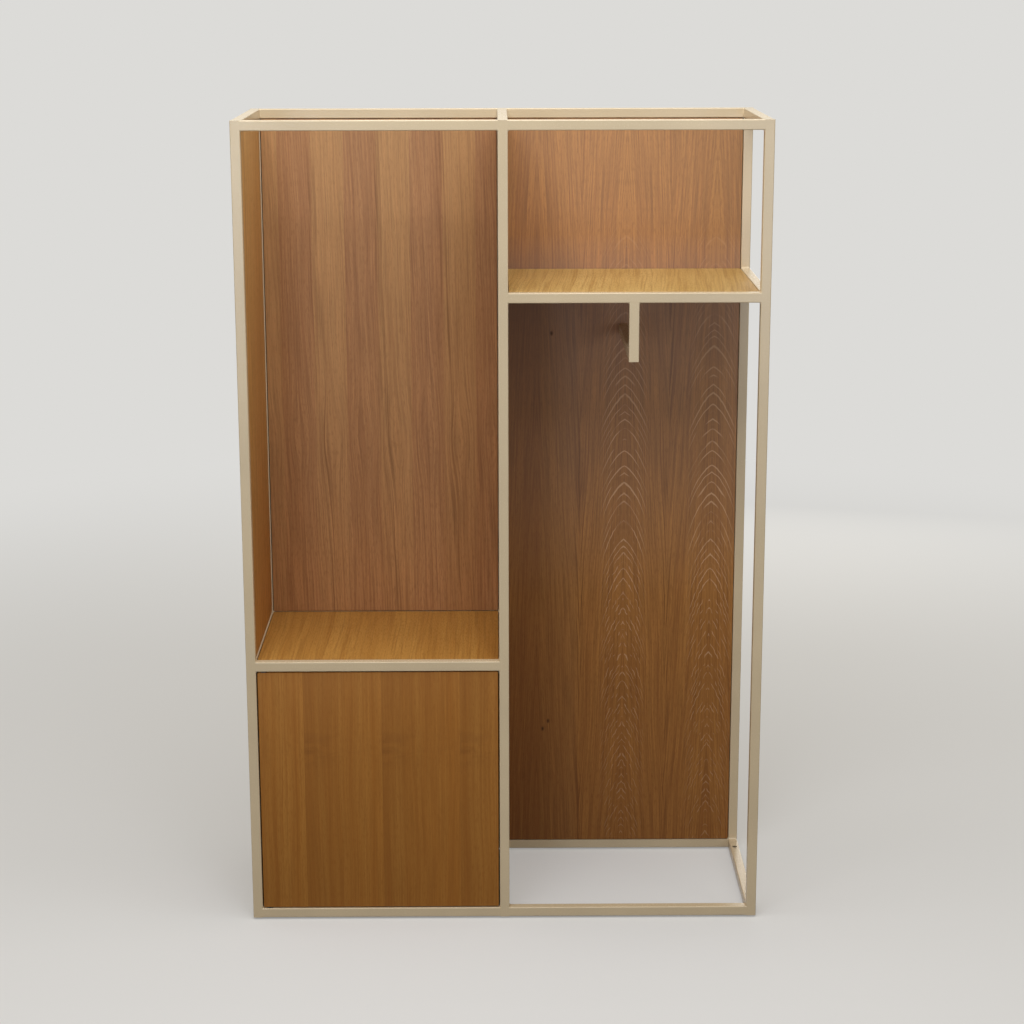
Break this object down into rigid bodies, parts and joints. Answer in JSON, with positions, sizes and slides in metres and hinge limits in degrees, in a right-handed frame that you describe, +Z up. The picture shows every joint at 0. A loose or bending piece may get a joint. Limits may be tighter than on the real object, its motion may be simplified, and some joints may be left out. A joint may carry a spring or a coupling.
{
  "type": "mudroom locker unit",
  "caption": "Free-standing mudroom locker of welded square tube with wood panels: seat over a hinged-door cabinet beside an open hanging bay with a shelf and a front-to-back bar.",
  "frame": {"origin": "on the floor, under the middle of the unit", "axes": "+X to the right as seen from the front, +Y to the back, +Z up"},
  "size_m": [1.06, 0.4, 1.664],
  "materials": {
    "cream_coat": "satin powder coat",
    "oak_veneer": "satin lacquer",
    "zinc_steel": "zinc plated",
    "dark_plastic": "matt"
  },
  "bodies": {
    "frame": {"bottom_front_rail_left": "cream_coat", "bottom_front_rail_right": "cream_coat", "bottom_rear_rail_left": "cream_coat", "bottom_rear_rail_right": "cream_coat", "bottom_side_rail_left": "cream_coat", "bottom_side_rail_middle": "cream_coat", "bottom_side_rail_right": "cream_coat", "cabinet_back_panel": "oak_veneer", "cabinet_back_panel_strip": "cream_coat", "cabinet_floor": "oak_veneer", "divider_lower": "oak_veneer", "divider_lower_strip": "cream_coat", "divider_middle": "oak_veneer", "divider_middle_strip": "cream_coat", "divider_upper": "oak_veneer", "divider_upper_strip": "cream_coat", "foot_nuts": "zinc_steel", "hanger_bar": "cream_coat", "hanger_bolt": "zinc_steel", "hanger_drop": "cream_coat", "hanger_plug": "zinc_steel", "latch_housing": "dark_plastic", "level_strips": "cream_coat", "niche_back_panel": "oak_veneer", "niche_back_panel_strip": "cream_coat", "pivot_bush_bottom": "dark_plastic", "pivot_bush_top": "dark_plastic", "post_front_left": "cream_coat", "post_front_middle": "cream_coat", "post_front_right": "cream_coat", "post_rear_left": "cream_coat", "post_rear_middle": "cream_coat", "post_rear_right": "cream_coat", "right_back_panel": "oak_veneer", "right_back_panel_strip": "cream_coat", "seat_front_rail": "cream_coat", "seat_panel": "oak_veneer", "seat_rear_rail": "cream_coat", "seat_side_rail_left": "cream_coat", "seat_side_rail_middle": "cream_coat", "shelf_front_rail": "cream_coat", "shelf_panel": "oak_veneer", "shelf_side_rail_middle": "cream_coat", "shelf_side_rail_right": "cream_coat", "side_panel_lower": "oak_veneer", "side_panel_lower_strip": "cream_coat", "side_panel_upper": "oak_veneer", "side_panel_upper_strip": "cream_coat", "top_front_rail_left": "cream_coat", "top_front_rail_right": "cream_coat", "top_rear_rail_left": "cream_coat", "top_rear_rail_right": "cream_coat", "top_side_rail_left": "cream_coat", "top_side_rail_middle": "cream_coat", "top_side_rail_right": "cream_coat", "tube_end_caps": "cream_coat"},
    "door": {"door_panel": "oak_veneer", "pivot_pin_top": "zinc_steel", "pivot_pin_bottom": "zinc_steel", "latch_strike": "zinc_steel"},
    "latch": {"latch_plunger": "dark_plastic"},
    "foot_front_left": {"foot_front_left": "zinc_steel"},
    "foot_front_middle": {"foot_front_middle": "zinc_steel"},
    "foot_front_right": {"foot_front_right": "zinc_steel"},
    "foot_rear_left": {"foot_rear_left": "zinc_steel"},
    "foot_rear_middle": {"foot_rear_middle": "zinc_steel"},
    "foot_rear_right": {"foot_rear_right": "zinc_steel"}
  },
  "joints": [
    {"name": "door_swing", "type": "hinge", "parent": "frame", "child": "door", "pos_m": [-0.495, -0.19, 0.285], "axis": [0, 0, -1], "range_deg": [0, 110]},
    {"name": "latch_travel", "type": "slide", "parent": "frame", "child": "latch", "axis": [0, -1, 0], "range_m": [0, 0.014]},
    {"name": "foot_front_left_level", "type": "slide", "parent": "frame", "child": "foot_front_left", "axis": [0, 0, -1], "range_m": [0, 0.008]},
    {"name": "foot_front_middle_level", "type": "slide", "parent": "frame", "child": "foot_front_middle", "axis": [0, 0, -1], "range_m": [0, 0.008]},
    {"name": "foot_front_right_level", "type": "slide", "parent": "frame", "child": "foot_front_right", "axis": [0, 0, -1], "range_m": [0, 0.008]},
    {"name": "foot_rear_left_level", "type": "slide", "parent": "frame", "child": "foot_rear_left", "axis": [0, 0, -1], "range_m": [0, 0.008]},
    {"name": "foot_rear_middle_level", "type": "slide", "parent": "frame", "child": "foot_rear_middle", "axis": [0, 0, -1], "range_m": [0, 0.008]},
    {"name": "foot_rear_right_level", "type": "slide", "parent": "frame", "child": "foot_rear_right", "axis": [0, 0, -1], "range_m": [0, 0.008]}
  ],
  "couplings": [
    {"joint": "latch_travel", "follows": "door_swing", "m_per_rad": 0.0072}
  ]
}
